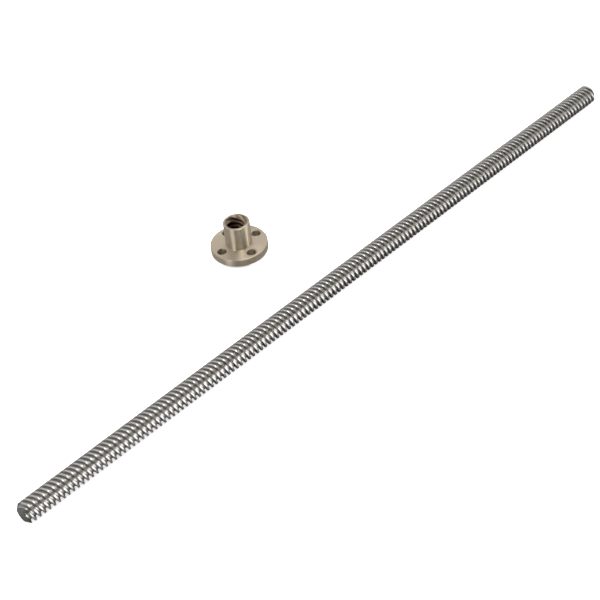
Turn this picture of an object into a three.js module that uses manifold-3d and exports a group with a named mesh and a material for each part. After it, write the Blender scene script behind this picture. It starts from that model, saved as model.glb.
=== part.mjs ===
// A multi-start trapezoidal lead screw and its flanged nut, in millimetres, +Z up.
// The screw lies along X on the ground plane. The nut stands beside it on the short stub below
// its flange, with its barrel up. The origin is on the ground, under the middle of the pair.
import * as THREE from 'three';
import { mergeVertices } from 'three/addons/utils/BufferGeometryUtils.js';
import Module from 'manifold-3d';

// The thread: four starts, right-hand, 30 degrees between the flanks.
const LEAD = 8;
const STARTS = 4;
const PITCH = LEAD / STARTS;
const PITCH_RADIUS = 3.5;
const FLANK_LEAN = THREE.MathUtils.degToRad(15);

// The lead screw.
const SCREW_LENGTH = 300;
const SCREW_CREST_RADIUS = 4;
const SCREW_ROOT_RADIUS = 2.75;
const SCREW_CHAMFER = 1.4;
const SCREW_STEP = 1; // length of one facet row along the helix

// The nut's thread: wider than the screw's by a running clearance on every side.
const NUT_GROOVE_RADIUS = 4.1;
const NUT_BORE_RADIUS = 3;
const FLANK_CLEARANCE = 0.05;
const NUT_STEP = 0.8;

// The nut's body, from the ground up.
const STUB_HEIGHT = 1.5;
const FLANGE_THICKNESS = 3;
const BARREL_HEIGHT = 10;
const NUT_HEIGHT = STUB_HEIGHT + FLANGE_THICKNESS + BARREL_HEIGHT;
const BARREL_RADIUS = 5.1;
const FLANGE_RADIUS = 11;
const EDGE_BREAK = 0.3;
const MOUTH_RADIUS = 4.15;

// Its screw holes.
const HOLE_COUNT = 4;
const HOLE_RADIUS = 1.75;
const HOLE_CIRCLE_RADIUS = 8;
const FIRST_HOLE_ANGLE = THREE.MathUtils.degToRad(-8);

// Where the two pieces lie.
const SPACING = 44; // between the screw's axis and the nut's
const SCREW_Y = -(SPACING + FLANGE_RADIUS - SCREW_CREST_RADIUS) / 2;
const NUT_X = -11;
const NUT_Y = SCREW_Y + SPACING;

const SCREW_SEGMENTS = 32;
const NUT_SEGMENTS = 48;
const HOLE_SEGMENTS = 24;
const OVERCUT = 0.4; // how far a cutting shape runs past the surface it cuts or spares

const wasm = await Module();
wasm.setup();

// Turns a closed geometry into a solid for cutting.
function toSolid(geometry) {
  const bare = geometry.clone();
  bare.deleteAttribute('normal');
  bare.deleteAttribute('uv');
  const merged = mergeVertices(bare, 1e-5);
  return new wasm.Manifold(new wasm.Mesh({
    numProp: 3,
    vertProperties: new Float32Array(merged.attributes.position.array),
    triVerts: new Uint32Array(merged.index.array),
  }));
}

// Turns a cut solid back into a geometry.
function toGeometry(solid) {
  const mesh = solid.getMesh();
  const geometry = new THREE.BufferGeometry();
  geometry.setAttribute('position', new THREE.BufferAttribute(mesh.vertProperties, 3));
  geometry.setIndex(new THREE.BufferAttribute(mesh.triVerts, 1));
  geometry.computeVertexNormals();
  return geometry;
}

// A closed solid of revolution about Z. The profile's points are [radius, height].
function revolved(profile, segments) {
  const points = profile.map(([radius, height]) => new THREE.Vector2(radius, height));
  return new THREE.LatheGeometry(points, segments).rotateX(Math.PI / 2);
}

// Half the angle that one thread fills, seen along the axis, at a given radius.
function threadHalfAngle(radius, clearance) {
  const halfWidth = PITCH / 4 - (radius - PITCH_RADIUS) * Math.tan(FLANK_LEAN) + clearance;
  return (halfWidth / LEAD) * 2 * Math.PI;
}

// The thread's section square to the axis: a core with one trapezoidal lobe for each start.
function threadSection(rootRadius, crestRadius, clearance) {
  const root = threadHalfAngle(rootRadius, clearance);
  const crest = threadHalfAngle(crestRadius, clearance);
  const points = [];
  for (let start = 0; start < STARTS; start += 1) {
    const middle = crest + (start / STARTS) * 2 * Math.PI;
    for (const [radius, angle] of [
      [rootRadius, -root], [crestRadius, -crest], [crestRadius, crest], [rootRadius, root],
    ]) {
      points.push(new THREE.Vector2(
        radius * Math.cos(middle + angle),
        radius * Math.sin(middle + angle),
      ));
    }
  }
  return new THREE.Shape(points);
}

// A threaded bar along Z: the section drawn along the axis and twisted once for each lead.
function threadedBar(section, length, step) {
  const bar = new THREE.ExtrudeGeometry(section, {
    depth: length, steps: Math.round(length / step), bevelEnabled: false,
  });
  const position = bar.attributes.position;
  const point = new THREE.Vector3();
  const axis = new THREE.Vector3(0, 0, 1);
  for (let i = 0; i < position.count; i += 1) {
    point.fromBufferAttribute(position, i);
    point.applyAxisAngle(axis, (point.z / LEAD) * 2 * Math.PI);
    position.setXYZ(i, point.x, point.y, point.z);
  }
  return bar;
}

// The lead screw along Z, threaded from end to end and chamfered at both ends.
function leadScrewGeometry() {
  const section = threadSection(SCREW_ROOT_RADIUS, SCREW_CREST_RADIUS, 0);
  const bar = threadedBar(section, SCREW_LENGTH, SCREW_STEP);
  const outside = SCREW_CREST_RADIUS + OVERCUT;
  const endRadius = SCREW_CREST_RADIUS - SCREW_CHAMFER;
  const coneHeight = outside - endRadius;
  const envelope = revolved([
    [0, 0], [endRadius, 0], [outside, coneHeight],
    [outside, SCREW_LENGTH - coneHeight], [endRadius, SCREW_LENGTH], [0, SCREW_LENGTH],
  ], SCREW_SEGMENTS);
  return toGeometry(toSolid(bar).intersect(toSolid(envelope)));
}

// The nut's turned body before it is bored: stub, flange and barrel.
function nutBlank() {
  const flangeTop = STUB_HEIGHT + FLANGE_THICKNESS;
  return revolved([
    [0, 0],
    [BARREL_RADIUS - EDGE_BREAK, 0], [BARREL_RADIUS, EDGE_BREAK],
    [BARREL_RADIUS, STUB_HEIGHT],
    [FLANGE_RADIUS - EDGE_BREAK, STUB_HEIGHT], [FLANGE_RADIUS, STUB_HEIGHT + EDGE_BREAK],
    [FLANGE_RADIUS, flangeTop - EDGE_BREAK], [FLANGE_RADIUS - EDGE_BREAK, flangeTop],
    [BARREL_RADIUS, flangeTop],
    [BARREL_RADIUS, NUT_HEIGHT - EDGE_BREAK], [BARREL_RADIUS - EDGE_BREAK, NUT_HEIGHT],
    [0, NUT_HEIGHT],
  ], NUT_SEGMENTS);
}

// The drilled bore with a countersink at each end, as one spool-shaped cutter.
function boreCutter() {
  const countersinkDepth = MOUTH_RADIUS - NUT_BORE_RADIUS;
  const mouth = MOUTH_RADIUS + OVERCUT;
  return revolved([
    [0, -OVERCUT], [mouth, -OVERCUT],
    [NUT_BORE_RADIUS, countersinkDepth], [NUT_BORE_RADIUS, NUT_HEIGHT - countersinkDepth],
    [mouth, NUT_HEIGHT + OVERCUT], [0, NUT_HEIGHT + OVERCUT],
  ], HOLE_SEGMENTS);
}

// One screw hole through the flange.
function flangeHoleCutter(angle) {
  const length = FLANGE_THICKNESS + 2 * OVERCUT;
  return new THREE.CylinderGeometry(HOLE_RADIUS, HOLE_RADIUS, length, HOLE_SEGMENTS)
    .rotateX(Math.PI / 2)
    .translate(
      HOLE_CIRCLE_RADIUS * Math.cos(angle), HOLE_CIRCLE_RADIUS * Math.sin(angle),
      STUB_HEIGHT + FLANGE_THICKNESS / 2,
    );
}

// The flanged nut along Z, bored, threaded through and drilled for its screws.
function flangedNutGeometry() {
  const grooves = threadSection(SCREW_ROOT_RADIUS, NUT_GROOVE_RADIUS, FLANK_CLEARANCE);
  const tap = threadedBar(grooves, NUT_HEIGHT + 2 * OVERCUT, NUT_STEP).translate(0, 0, -OVERCUT);
  let nut = toSolid(nutBlank()).subtract(toSolid(boreCutter())).subtract(toSolid(tap));
  for (let hole = 0; hole < HOLE_COUNT; hole += 1) {
    const angle = FIRST_HOLE_ANGLE + (hole / HOLE_COUNT) * 2 * Math.PI;
    nut = nut.subtract(toSolid(flangeHoleCutter(angle)));
  }
  return toGeometry(nut);
}

const steel = new THREE.MeshStandardMaterial({ color: 0x8f8f8d, roughness: 0.32, metalness: 1 });
const brass = new THREE.MeshStandardMaterial({ color: 0xb8a68a, roughness: 0.3, metalness: 1 });

const leadScrew = new THREE.Mesh(leadScrewGeometry(), steel);
leadScrew.name = 'lead_screw';
leadScrew.rotation.y = Math.PI / 2;
leadScrew.position.set(-SCREW_LENGTH / 2, SCREW_Y, SCREW_CREST_RADIUS);

const flangedNut = new THREE.Mesh(flangedNutGeometry(), brass);
flangedNut.name = 'flanged_nut';
flangedNut.position.set(NUT_X, NUT_Y, 0);

const group = new THREE.Group();
group.add(leadScrew, flangedNut);

export default group;
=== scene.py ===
import math

import bpy
import numpy as np
from mathutils import Matrix, Quaternion, Vector
from mathutils.geometry import tessellate_polygon


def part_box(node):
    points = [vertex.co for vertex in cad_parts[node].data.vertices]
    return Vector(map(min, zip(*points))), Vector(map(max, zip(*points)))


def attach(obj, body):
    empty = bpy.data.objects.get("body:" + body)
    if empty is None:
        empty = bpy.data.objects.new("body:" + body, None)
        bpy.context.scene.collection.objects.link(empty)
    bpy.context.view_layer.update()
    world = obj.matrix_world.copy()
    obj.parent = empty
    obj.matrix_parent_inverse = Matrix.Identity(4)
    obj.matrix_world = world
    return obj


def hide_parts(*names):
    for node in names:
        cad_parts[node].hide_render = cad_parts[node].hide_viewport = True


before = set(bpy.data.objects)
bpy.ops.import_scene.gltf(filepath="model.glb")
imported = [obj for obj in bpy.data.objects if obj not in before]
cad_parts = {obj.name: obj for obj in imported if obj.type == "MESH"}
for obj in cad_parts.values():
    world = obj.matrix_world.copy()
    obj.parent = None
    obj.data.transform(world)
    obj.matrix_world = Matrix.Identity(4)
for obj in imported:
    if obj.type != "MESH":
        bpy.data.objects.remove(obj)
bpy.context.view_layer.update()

MM = 0.001
TURN = 2 * math.pi

# ------------------------------------------------------------------ driving dimensions

# The thread.
LEAD = 8.0
STARTS = 4
PITCH = LEAD / STARTS
PITCH_RADIUS = 3.5
FLANK_LEAN = math.radians(15)

# The screw.
SCREW_CREST = 4.0
SCREW_ROOT = 2.75
SCREW_CHAMFER = 1.4

# The nut.
NUT_GROOVE = 4.1
NUT_BORE = 3.0
GROOVE_CLEARANCE = 0.05
MOUTH = 4.15
STUB_TOP = 1.5
FLANGE_TOP = 4.5
BARREL = 5.1
FLANGE = 11.0
HOLE = 1.75
HOLE_CIRCLE = 8.0
HOLE_COUNT = 4
FIRST_HOLE = math.radians(-8)

# The small roundings.
CREST_ROUND = 0.12
ROOT_ROUND = 0.2
EDGE_ROUND = 0.3
HOLE_ROUND = 0.3

# How finely shapes are divided: steps along an axis or an outline, and points round a ring.
SCREW_STEP = 0.33
SCREW_END_STEP = 0.1
NUT_STEP = 0.2
SECTION_STEP = 0.35
ARC_STEPS = 4
ROUND_POINTS = 144
HOLE_POINTS = 48

# An edge that turns by more than this isn't shaded smooth.
SHARP_EDGE = math.radians(35)

# Where the two pieces lie, from the frame.
screw_low, screw_high = (np.array(corner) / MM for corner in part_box("lead_screw"))
nut_low, nut_high = (np.array(corner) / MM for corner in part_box("flanged_nut"))
screw_middle = (screw_low + screw_high) / 2
nut_middle = (nut_low + nut_high) / 2
SCREW_LENGTH = screw_high[0] - screw_low[0]
NUT_HEIGHT = nut_high[2] - nut_low[2]


# ------------------------------------------------------------------ profiles

def rounded_path(corners, radii):
    """The open path through these corners, with each inner corner rounded to its radius."""
    corners = [np.array(corner, float) for corner in corners]
    path = [corners[0]]
    for before, corner, after, radius in zip(corners, corners[1:], corners[2:], radii):
        if radius == 0:
            path.append(corner)
            continue
        back = (before - corner) / np.linalg.norm(before - corner)
        on = (after - corner) / np.linalg.norm(after - corner)
        half = math.acos(float(back @ on)) / 2
        middle = back + on
        centre = corner + middle / np.linalg.norm(middle) * radius / math.sin(half)
        first = corner + back * radius / math.tan(half) - centre
        last = corner + on * radius / math.tan(half) - centre
        sweep = math.pi - 2 * half
        for step in range(ARC_STEPS + 1):
            part = sweep * step / ARC_STEPS
            mixed = first * math.sin(sweep - part) + last * math.sin(part)
            path.append(centre + mixed / math.sin(sweep))
    path.append(corners[-1])
    return np.array(path)


def divided(path, longest):
    """The path with extra points, so that no stretch of it is longer than this."""
    points = [path[0]]
    for start, end in zip(path, path[1:]):
        count = max(1, math.ceil(np.linalg.norm(end - start) / longest))
        points += [start + (end - start) * step / count for step in range(1, count + 1)]
    return np.array(points)


def thread_section(root, crest, clearance, crest_round, root_round):
    """The thread's section square to the axis, as (angle, radius) once round, from the shape
    that a cut along the axis shows: crest, leaning flank and root, with rounded corners."""
    def half_width(radius):
        return PITCH / 4 - (radius - PITCH_RADIUS) * math.tan(FLANK_LEAN) + clearance
    corners = [(0, crest), (half_width(crest), crest), (half_width(root), root), (PITCH / 2, root)]
    half = divided(rounded_path(corners, (crest_round, root_round)), SECTION_STEP)
    one = np.concatenate([half[:0:-1] * (-1, 1), half[:-1]])
    angles = [one[:, 0] / LEAD * TURN + start * TURN / STARTS for start in range(STARTS)]
    return np.concatenate(angles), np.tile(one[:, 1], STARTS)


# ------------------------------------------------------------------ building meshes

def new_object(name, data):
    """An object in the scene that holds this mesh, camera or light."""
    made = bpy.data.objects.new(name, data)
    bpy.context.scene.collection.objects.link(made)
    return made


class Shell:
    """A mesh in the making. Each point has a place and a run: its place with the thread's
    twist undone, so that marks which follow the thread lie along the run's Z."""

    def __init__(self):
        self.places = []
        self.runs = []
        self.painted_shade_marks = []
        self.faces = []
        self.flat = []

    def add_points(self, places, runs, painted_shade):
        first = len(self.places)
        self.places += [tuple(place) for place in places]
        self.runs += [tuple(run) for run in runs]
        self.painted_shade_marks += [float(value) for value in np.broadcast_to(painted_shade, len(places))]
        return list(range(first, len(self.places)))

    def add_faces(self, faces, flat=False):
        self.faces += faces
        self.flat += [flat] * len(faces)

    def ring(self, radius, height, count=ROUND_POINTS, centre=(0, 0)):
        """A ring of points round an upright axis."""
        angles = np.arange(count) / count * TURN
        x = centre[0] + radius * np.cos(angles)
        y = centre[1] + radius * np.sin(angles)
        places = np.stack([x, y, np.full(count, float(height))], axis=1)
        return self.add_points(places, places, 0.0)

    def bridge(self, rings, inward=False):
        """Quads between each ring and the next. Where the rings go up, they face outward, or
        inward if asked."""
        for lower, upper in zip(rings, rings[1:]):
            first, second = (upper, lower) if inward else (lower, upper)
            count = len(first)
            self.add_faces([
                (first[i], first[(i + 1) % count], second[(i + 1) % count], second[i])
                for i in range(count)
            ])

    def fill(self, outline, holes, up):
        """A flat face inside a ring, round any holes, looking up or down."""
        loops = [outline, *holes]
        indices = [index for loop in loops for index in loop]
        vectors = [[Vector(self.places[index]) for index in loop] for loop in loops]
        triangles = []
        for corners in tessellate_polygon(vectors):
            a, b, c = (indices[corner] for corner in corners)
            side_1 = np.subtract(self.places[b], self.places[a])
            side_2 = np.subtract(self.places[c], self.places[a])
            looks_up = np.cross(side_1, side_2)[2] > 0
            triangles.append((a, b, c) if looks_up == up else (a, c, b))
        self.add_faces(triangles, flat=True)

    def revolve(self, profile):
        """Rings through a profile of (radius, height), bridged."""
        rings = [self.ring(radius, height) for radius, height in profile]
        self.bridge(rings)
        return rings

    def thread(self, section, heights, limit):
        """Rings that twist once round for each lead. limit gives each ring's radii from the
        section's radii and the ring's height, which trims the thread at its ends. A trimmed
        point is marked as cut: the materials paint it darker, as painted shade."""
        angles, radii = section
        rings = []
        for height in heights:
            trimmed = limit(radii, height)
            turned = angles + height / LEAD * TURN
            flat = np.full(len(angles), float(height))
            places = np.stack([trimmed * np.cos(turned), trimmed * np.sin(turned), flat], axis=1)
            runs = np.stack([trimmed * np.cos(angles), trimmed * np.sin(angles), flat], axis=1)
            rings.append(self.add_points(places, runs, np.abs(trimmed - radii) > 1e-6))
        return rings

    def mark_painted_shade(self, ring):
        """Marks a whole ring as cut, where the materials paint shade: the screw's sawn ends, and
        the nut's bore.
        """
        for index in ring:
            self.painted_shade_marks[index] = 1.0

    def make(self, name, material):
        """The finished mesh object, in metres."""
        mesh = bpy.data.meshes.new(name)
        mesh.from_pydata([Vector(place) * MM for place in self.places], [], self.faces)
        mesh.polygons.foreach_set("use_smooth", [not flat for flat in self.flat])
        run = mesh.attributes.new("run", "FLOAT_VECTOR", "POINT")
        run.data.foreach_set("vector", np.array(self.runs, np.float32).ravel())
        # The cut mark tells the materials where to paint shade: the screw's ends and the nut's
        # bore.
        painted_shade = mesh.attributes.new("painted_shade", "FLOAT", "POINT")
        painted_shade.data.foreach_set("value", np.array(self.painted_shade_marks, np.float32))
        mesh.set_sharp_from_angle(angle=SHARP_EDGE)
        mesh.materials.append(material)
        mesh.validate()
        return new_object(name, mesh)


def even_steps(low, high, step):
    """Heights from low to high, no further apart than this."""
    return np.linspace(low, high, max(1, math.ceil((high - low) / step)) + 1)


# ------------------------------------------------------------------ materials

class Nodes:
    """Short names for the shader nodes that the materials and the world are made of."""

    def __init__(self, tree):
        self.tree = tree
        tree.nodes.clear()

    def add(self, kind, inputs=None, **settings):
        node = self.tree.nodes.new(kind)
        for key, value in settings.items():
            setattr(node, key, value)
        for key, value in (inputs or {}).items():
            self.put(node.inputs[key], value)
        return node

    def put(self, socket, value):
        if isinstance(value, bpy.types.NodeSocket):
            self.tree.links.new(value, socket)
        else:
            socket.default_value = value

    def math(self, operation, *values):
        node = self.add("ShaderNodeMath", operation=operation)
        for socket, value in zip(node.inputs, values):
            self.put(socket, value)
        return node.outputs[0]

    def attribute(self, name):
        return self.add("ShaderNodeAttribute", attribute_name=name)

    def scaled(self, vector, scale):
        inputs = {"Vector": vector, "Scale": scale}
        return self.add("ShaderNodeMapping", inputs).outputs["Vector"]

    def noise(self, vector, scale, detail=2.0, roughness=0.5):
        inputs = {"Vector": vector, "Scale": scale, "Detail": detail, "Roughness": roughness}
        return self.add("ShaderNodeTexNoise", inputs).outputs["Fac"]

    def rings(self, distance, scale, detail=2.0):
        """Noise that changes with one distance only, as turning marks do."""
        inputs = {"W": distance, "Scale": scale, "Detail": detail}
        return self.add("ShaderNodeTexNoise", inputs, noise_dimensions="1D").outputs["Fac"]

    def span(self, value, low, high, to_low=0.0, to_high=1.0):
        """The value's range low to high, carried over to another range and held there."""
        inputs = {
            "Value": value, "From Min": low, "From Max": high,
            "To Min": to_low, "To Max": to_high,
        }
        return self.add("ShaderNodeMapRange", inputs).outputs["Result"]

    def mix(self, factor, first, second):
        """A mix of two colours. The node's colour sockets can only be told by their numbers."""
        node = self.add("ShaderNodeMix", data_type="RGBA")
        self.put(node.inputs[0], factor)
        self.put(node.inputs[6], first)
        self.put(node.inputs[7], second)
        return node.outputs[2]

    def bump(self, height, metres, normal=None):
        inputs = {"Height": height, "Distance": metres, "Strength": 1.0}
        if normal is not None:
            inputs["Normal"] = normal
        return self.add("ShaderNodeBump", inputs).outputs["Normal"]

    def set_surface(self, surface, kind="ShaderNodeOutputMaterial"):
        """Makes this shader the material's surface, or the world's."""
        self.add(kind, {"Surface": surface})


def new_material(name):
    """A new material, and its nodes."""
    material = bpy.data.materials.new(name)
    material.use_nodes = True
    return material, Nodes(material.node_tree)


def grey(value, warmth=0.0):
    """A linear colour near grey. Warmth takes blue away and adds a little red."""
    return (value * (1 + 0.75 * warmth), value, value * (1 - 1.3 * warmth), 1.0)


def radius_and_height(nodes, vector):
    """How far a point is from the upright axis, and how far along it."""
    parts = nodes.add("ShaderNodeSeparateXYZ", {"Vector": vector})
    flat = nodes.add("ShaderNodeCombineXYZ", {"X": parts.outputs["X"], "Y": parts.outputs["Y"]})
    length = nodes.add("ShaderNodeVectorMath", {0: flat.outputs[0]}, operation="LENGTH")
    return length.outputs["Value"], parts.outputs["Z"]


def screw_steel():
    """Rolled steel: crests burnished bright, grooves darker as painted shade, streaks along the
    thread, specks of grime, and painted shade on the cut ends and their chamfers."""
    material, nodes = new_material("rolled_steel")
    run = nodes.attribute("run").outputs["Vector"]
    painted_shade = nodes.attribute("painted_shade").outputs["Fac"]
    radius, _ = radius_and_height(nodes, run)

    streaks = nodes.noise(nodes.scaled(run, (9.0, 9.0, 0.35)), 1.0, detail=4.0)
    patches = nodes.noise(nodes.scaled(run, (0.5, 0.5, 0.12)), 1.0, detail=3.0)
    specks = nodes.noise(nodes.scaled(run, (5.0, 5.0, 5.0)), 1.0, detail=4.0, roughness=0.65)

    # How high on the thread a point is, 0 to 1, made uneven by the streaks.
    height = nodes.span(radius, SCREW_ROOT, SCREW_CREST)
    uneven = nodes.math("MULTIPLY_ADD", nodes.math("SUBTRACT", streaks, 0.5), 0.35, height)
    flank = nodes.span(uneven, 0.0, 0.5)
    crest = nodes.span(uneven, 0.82, 0.98)

    # Root and flanks darker than the crest: partly the crest's burnish, partly painted shade in
    # the grooves.
    shaded_root_colour = nodes.mix(patches, grey(0.52, 0.05), grey(0.62, 0.04))
    shaded_flank_colour = nodes.mix(streaks, grey(0.48, 0.04), grey(0.58, 0.03))
    crest_colour = nodes.mix(patches, grey(0.58, 0.03), grey(0.68, 0.02))
    colour = nodes.mix(flank, shaded_root_colour, shaded_flank_colour)
    colour = nodes.mix(crest, colour, crest_colour)
    grime = nodes.math("MULTIPLY", nodes.span(specks, 0.58, 0.72), 0.35)
    colour = nodes.mix(grime, colour, grey(0.16, 0.05))
    # Painted shade: the cut ends and their chamfers are made darker.
    painted_end_shade = nodes.mix(specks, grey(0.14, 0.02), grey(0.26, 0.02))
    colour = nodes.mix(painted_shade, colour, painted_end_shade)

    rough = nodes.span(uneven, 0.1, 1.0, 0.22, 0.2)
    rough = nodes.math("ADD", rough, nodes.span(streaks, 0.3, 0.7, -0.03, 0.06))

    normal = nodes.bump(streaks, 0.005 * MM)
    normal = nodes.bump(specks, 0.003 * MM, normal)
    shader = nodes.add("ShaderNodeBsdfPrincipled", {
        "Base Color": colour, "Metallic": 1.0, "Roughness": rough, "Normal": normal,
    })
    nodes.set_surface(shader.outputs["BSDF"])
    return material


def nut_brass():
    """Turned brass, pale bronze in tone: rings and a turned sheen from the lathe, fine stains,
    and painted shade darkening the bore."""
    material, nodes = new_material("turned_brass")
    run = nodes.attribute("run").outputs["Vector"]
    bore_shade_mask = nodes.attribute("painted_shade").outputs["Fac"]
    radius, height = radius_and_height(nodes, run)

    # This distance grows both outward over a face and upward along a wall.
    along_profile = nodes.math("ADD", radius, height)
    coarse_rings = nodes.rings(along_profile, 2.2, detail=3.0)
    fine_rings = nodes.rings(along_profile, 9.0, detail=3.0)
    patches = nodes.noise(run, 0.28, detail=3.0)
    specks = nodes.noise(run, 3.5, detail=4.0, roughness=0.65)

    colour = nodes.mix(patches, (0.56, 0.465, 0.345, 1), (0.64, 0.555, 0.43, 1))
    ring_tint = nodes.span(coarse_rings, 0.35, 0.65, 0.0, 0.3)
    colour = nodes.mix(ring_tint, colour, (0.68, 0.60, 0.48, 1))
    stain = nodes.math("MULTIPLY", nodes.span(specks, 0.6, 0.75), 0.4)
    colour = nodes.mix(stain, colour, (0.3, 0.24, 0.17, 1))
    # Painted shade: the bore is made darker inside.
    painted_bore_shade = nodes.mix(specks, (0.26, 0.185, 0.125, 1), (0.5, 0.4, 0.3, 1))
    colour = nodes.mix(bore_shade_mask, colour, painted_bore_shade)

    rough = nodes.span(fine_rings, 0.3, 0.7, 0.34, 0.42)
    rough = nodes.math("ADD", rough, nodes.span(patches, 0.3, 0.7, -0.02, 0.05))

    normal = nodes.bump(fine_rings, 0.006 * MM)
    normal = nodes.bump(specks, 0.003 * MM, normal)
    tangent = nodes.add("ShaderNodeTangent", direction_type="RADIAL", axis="Z")
    shader = nodes.add("ShaderNodeBsdfPrincipled", {
        "Base Color": colour, "Metallic": 1.0, "Roughness": rough, "Normal": normal,
        "Anisotropic": 0.95, "Anisotropic Rotation": 0.25, "Tangent": tangent.outputs["Tangent"],
    })
    nodes.set_surface(shader.outputs["BSDF"])
    return material


# ------------------------------------------------------------------ the lead screw

def make_screw():
    """The screw, built standing on its end and laid down along X."""
    section = thread_section(SCREW_ROOT, SCREW_CREST, 0.0, CREST_ROUND, ROOT_ROUND)
    end_radius = SCREW_CREST - SCREW_CHAMFER

    def chamfered(radii, height):
        from_end = min(height, SCREW_LENGTH - height)
        return np.minimum(radii, end_radius + from_end)

    far = SCREW_LENGTH - SCREW_CHAMFER
    heights = np.concatenate([
        even_steps(0, SCREW_CHAMFER, SCREW_END_STEP)[:-1],
        even_steps(SCREW_CHAMFER, far, SCREW_STEP),
        even_steps(far, SCREW_LENGTH, SCREW_END_STEP)[1:],
    ])
    shell = Shell()
    rings = shell.thread(section, heights, chamfered)
    shell.bridge(rings)
    for ring, up in ((rings[0], False), (rings[-1], True)):
        shell.fill(ring, [], up)
        shell.mark_painted_shade(ring)

    piece = shell.make("lead_screw_thread", screw_steel())
    end = Vector((screw_low[0], screw_middle[1], screw_middle[2])) * MM
    piece.matrix_world = Matrix.Translation(end) @ Matrix.Rotation(math.pi / 2, 4, "Y")
    return piece


# ------------------------------------------------------------------ the flanged nut

def hole_centres():
    """Where the flange's screw holes are, as (x, y) from the nut's axis."""
    for hole in range(HOLE_COUNT):
        angle = FIRST_HOLE + hole / HOLE_COUNT * TURN
        yield HOLE_CIRCLE * math.cos(angle), HOLE_CIRCLE * math.sin(angle)


def make_nut():
    """The nut, standing on its stub: a turned outside, four drilled holes, a threaded bore."""
    shell = Shell()

    # The outside, from the stub's foot to the barrel's rim, in three turned stretches.
    foot = rounded_path([(MOUTH, 0), (BARREL, 0), (BARREL, STUB_TOP)], [EDGE_ROUND])[1:]
    rim = rounded_path(
        [(BARREL, STUB_TOP), (FLANGE, STUB_TOP), (FLANGE, FLANGE_TOP), (BARREL, FLANGE_TOP)],
        [EDGE_ROUND, EDGE_ROUND],
    )[1:-1]
    barrel = rounded_path(
        [(FLANGE, FLANGE_TOP), (BARREL, FLANGE_TOP), (BARREL, NUT_HEIGHT), (MOUTH, NUT_HEIGHT)],
        [EDGE_ROUND / 2, EDGE_ROUND],
    )[1:-1]
    foot_rings = shell.revolve(foot)
    rim_rings = shell.revolve(rim)
    barrel_rings = shell.revolve(barrel)

    # The screw holes, each with a rounded edge at both faces. The path's two end points lie out
    # on those faces. They only give the roundings their direction, and are left out.
    lower_mouths = []
    upper_mouths = []
    beyond = HOLE + 1
    wall = rounded_path(
        [(beyond, STUB_TOP), (HOLE, STUB_TOP), (HOLE, FLANGE_TOP), (beyond, FLANGE_TOP)],
        [HOLE_ROUND, HOLE_ROUND],
    )[1:-1]
    for centre in hole_centres():
        rings = [shell.ring(radius, height, HOLE_POINTS, centre) for radius, height in wall]
        shell.bridge(rings, inward=True)
        lower_mouths.append(rings[0])
        upper_mouths.append(rings[-1])

    # The threaded bore, opened out at both ends.
    section = thread_section(NUT_BORE, NUT_GROOVE, GROOVE_CLEARANCE, CREST_ROUND, CREST_ROUND)

    def countersunk(radii, height):
        from_end = min(height, NUT_HEIGHT - height)
        return np.maximum(radii, MOUTH - from_end)

    bore_rings = shell.thread(section, even_steps(0, NUT_HEIGHT, NUT_STEP), countersunk)
    shell.bridge(bore_rings, inward=True)
    for ring in bore_rings:
        shell.mark_painted_shade(ring)

    # The flat faces that join them.
    shell.fill(foot_rings[0], [bore_rings[0]], False)
    shell.fill(rim_rings[0], [foot_rings[-1], *lower_mouths], False)
    shell.fill(rim_rings[-1], [barrel_rings[0], *upper_mouths], True)
    shell.fill(barrel_rings[-1], [bore_rings[-1]], True)

    piece = shell.make("flanged_nut_body", nut_brass())
    piece.location = Vector((nut_middle[0], nut_middle[1], nut_low[2])) * MM
    return piece


screw = make_screw()
nut = make_nut()
bpy.context.view_layer.update()
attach(screw, "lead_screw")
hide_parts("lead_screw")
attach(nut, "nut")
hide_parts("flanged_nut")


# ------------------------------------------------------------------ studio

# The studio is in metres and degrees.

# The camera's place, worked out from the photo: what it aims at, and where it is from there.
AIM = Vector((-0.01964, -0.02243, 0.004))
VIEW_AZIMUTH = -131.46
VIEW_ELEVATION = 41.23
VIEW_ROLL = -6.33
VIEW_DISTANCE = 0.5539

# Its lens and sensor, in millimetres.
LENS = 91.77
SENSOR = 36

SOFTBOX_DISTANCE = 1.2

# The table. In reflections it is white up to WHITE_UNTIL across, and from PAINTED_SHADOW_FROM on
# it bears a painted shadow as dark as PAINTED_SHADOW_TONE. The camera sees it glow, but not near
# the nut's axis.
TABLE_HALF = 20.0
WHITE_UNTIL = -0.042
PAINTED_SHADOW_FROM = -0.034
PAINTED_SHADOW_TONE = 0.24
TABLE_GLOW = 0.78
NO_GLOW_WITHIN = 8.2 * MM
FULL_GLOW_BEYOND = 9.8 * MM

# How bright the room is in reflections, and the backdrop that the camera sees.
ROOM = 0.85
BACKDROP = 1.2


def heading(azimuth, elevation):
    """The unit vector that points this way."""
    around = math.radians(azimuth)
    upward = math.radians(elevation)
    return Vector((
        math.cos(upward) * math.cos(around),
        math.cos(upward) * math.sin(around),
        math.sin(upward),
    ))


def face_aim(item, azimuth, elevation, distance, turn):
    """Puts a camera or light at this distance from the aim, this way from it. It looks at the
    aim, turned about its own line of sight."""
    item.location = AIM + distance * heading(azimuth, elevation)
    item.rotation_mode = "QUATERNION"
    facing = (AIM - item.location).to_track_quat("-Z", "Y")
    item.rotation_quaternion = facing @ Quaternion((0, 0, 1), math.radians(turn))


def make_camera():
    """The camera, at the photo's viewing angle."""
    data = bpy.data.cameras.new("camera")
    data.lens = LENS
    data.sensor_width = SENSOR
    data.clip_start = 0.01
    data.clip_end = 100
    camera = new_object("camera", data)
    face_aim(camera, VIEW_AZIMUTH, VIEW_ELEVATION, VIEW_DISTANCE, VIEW_ROLL)
    bpy.context.scene.camera = camera


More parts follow.
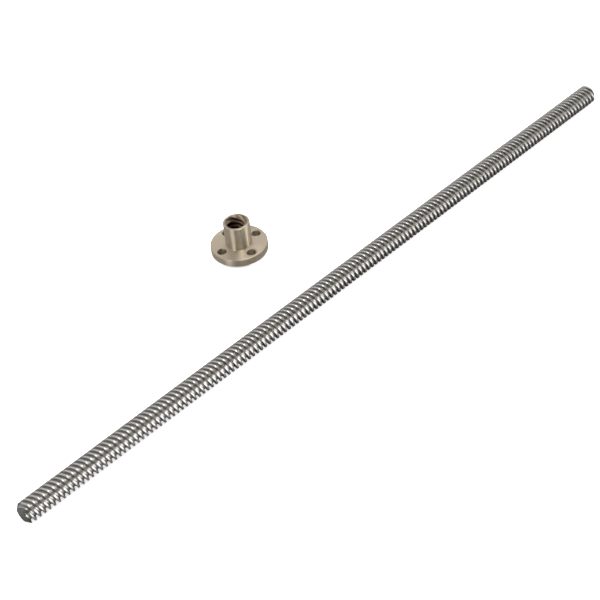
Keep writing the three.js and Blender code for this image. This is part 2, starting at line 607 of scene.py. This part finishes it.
def make_softbox(name, azimuth, elevation, width, height, radiance,
                 distance=SOFTBOX_DISTANCE, turn=0, mirrored=True, only=None):
    """A rectangular softbox that looks at the aim. One that isn't mirrored lights the table and
    leaves no highlight on metal. One with only set to a piece lights nothing else."""
    data = bpy.data.lights.new(name, "AREA")
    data.shape = "RECTANGLE"
    data.size = width
    data.size_y = height
    data.energy = radiance * math.pi * width * height
    light = new_object(name, data)
    face_aim(light, azimuth, elevation, distance, turn)
    light.visible_glossy = mirrored
    if only:
        lit = bpy.data.collections.new(name + "_lights")
        lit.objects.link(only)
        light.light_linking.receiver_collection = lit


def make_floor():
    """A white table. Rays other than the camera's see a painted shadow on it behind the screw."""
    mesh = bpy.data.meshes.new("floor")
    half = TABLE_HALF
    corners = [(-half, -half, 0), (half, -half, 0), (half, half, 0), (-half, half, 0)]
    mesh.from_pydata(corners, [], [(0, 1, 2, 3)])
    material, nodes = new_material("white_table_painted_shadow")
    seen = nodes.add("ShaderNodeLightPath").outputs["Is Camera Ray"]
    place = nodes.add("ShaderNodeNewGeometry").outputs["Position"]
    across = nodes.add("ShaderNodeSeparateXYZ", {"Vector": place}).outputs["Y"]
    foot = Vector((nut_middle[0], nut_middle[1], 0)) * MM
    inputs = {0: place, 1: foot}
    from_nut = nodes.add("ShaderNodeVectorMath", inputs, operation="DISTANCE").outputs["Value"]
    open_table = nodes.span(from_nut, NO_GLOW_WITHIN, FULL_GLOW_BEYOND)
    strength = nodes.math("MULTIPLY", nodes.math("MULTIPLY", seen, TABLE_GLOW), open_table)
    # Painted shadow: rays other than the camera's see the table darker behind the screw and round
    # the nut.
    mirrored = nodes.span(across, WHITE_UNTIL, PAINTED_SHADOW_FROM, 1.0, PAINTED_SHADOW_TONE)
    colour = nodes.mix(seen, mirrored, grey(1.0))
    diffuse = nodes.add("ShaderNodeBsdfDiffuse", {"Color": colour})
    glow = nodes.add("ShaderNodeEmission", {"Strength": strength})
    both = nodes.add("ShaderNodeAddShader", {0: diffuse.outputs[0], 1: glow.outputs[0]})
    nodes.set_surface(both.outputs[0])
    mesh.materials.append(material)
    new_object("floor", mesh)


def make_surroundings():
    """A light grey room, with dark patches on the camera's side and a lighter one behind the
    object, and a white backdrop."""
    world = bpy.data.worlds.new("studio")
    world.use_nodes = True
    bpy.context.scene.world = world
    nodes = Nodes(world.node_tree)
    direction = nodes.add("ShaderNodeTexCoord").outputs["Generated"]

    def patch(strength, azimuth, elevation, edge, middle):
        """A round patch of the room, which grows from 0 at its edge to its strength in the
        middle. Edge and middle are cosines of the angle from its centre."""
        inputs = {0: direction, 1: heading(azimuth, elevation)}
        node = nodes.add("ShaderNodeVectorMath", inputs, operation="DOT_PRODUCT")
        return nodes.span(node.outputs["Value"], edge, middle, 0.0, strength)

    front = patch(0.71, azimuth=-125, elevation=25, edge=0.6, middle=0.85)
    right = patch(0.6, azimuth=-62, elevation=42, edge=0.93, middle=0.995)
    far_right = patch(0.2, azimuth=-33, elevation=47, edge=0.9, middle=0.975)
    behind = patch(0.16, azimuth=33, elevation=36, edge=0.92, middle=0.97)
    dark = nodes.math("MAXIMUM", nodes.math("MAXIMUM", front, right), far_right)
    brightness = nodes.math("SUBTRACT", nodes.math("ADD", behind, ROOM), dark)
    room = nodes.add("ShaderNodeBackground", {"Strength": brightness})
    backdrop = nodes.add("ShaderNodeBackground", {"Color": (1, 1, 1, 1), "Strength": BACKDROP})
    seen = nodes.add("ShaderNodeLightPath").outputs["Is Camera Ray"]
    choice = nodes.add("ShaderNodeMixShader", {"Fac": seen})
    nodes.put(choice.inputs[1], room.outputs[0])
    nodes.put(choice.inputs[2], backdrop.outputs[0])
    nodes.set_surface(choice.outputs[0], "ShaderNodeOutputWorld")


make_camera()
make_floor()
make_surroundings()
make_softbox("table_light", azimuth=0, elevation=89, distance=1.6,
             width=2.0, height=2.0, radiance=3.2, mirrored=False)
make_softbox("softbox_top", azimuth=-17, elevation=72, distance=1.38,
             width=0.3, height=1.4, radiance=2.3, turn=53)
make_softbox("softbox_front", azimuth=-73.5, elevation=7,
             width=0.66, height=0.45, radiance=1.9, only=screw)
make_softbox("nut_left", azimuth=-172, elevation=3,
             width=0.6, height=0.12, radiance=10.6, only=nut)
make_softbox("nut_right", azimuth=-54, elevation=3,
             width=0.5, height=0.12, radiance=15, only=nut)
make_softbox("nut_top", azimuth=-115, elevation=78,
             width=0.5, height=0.5, radiance=3.8, only=nut)
make_softbox("nut_back", azimuth=51, elevation=39,
             width=0.9, height=0.9, radiance=0.16, only=nut)
bpy.context.scene.view_settings.view_transform = "Standard"
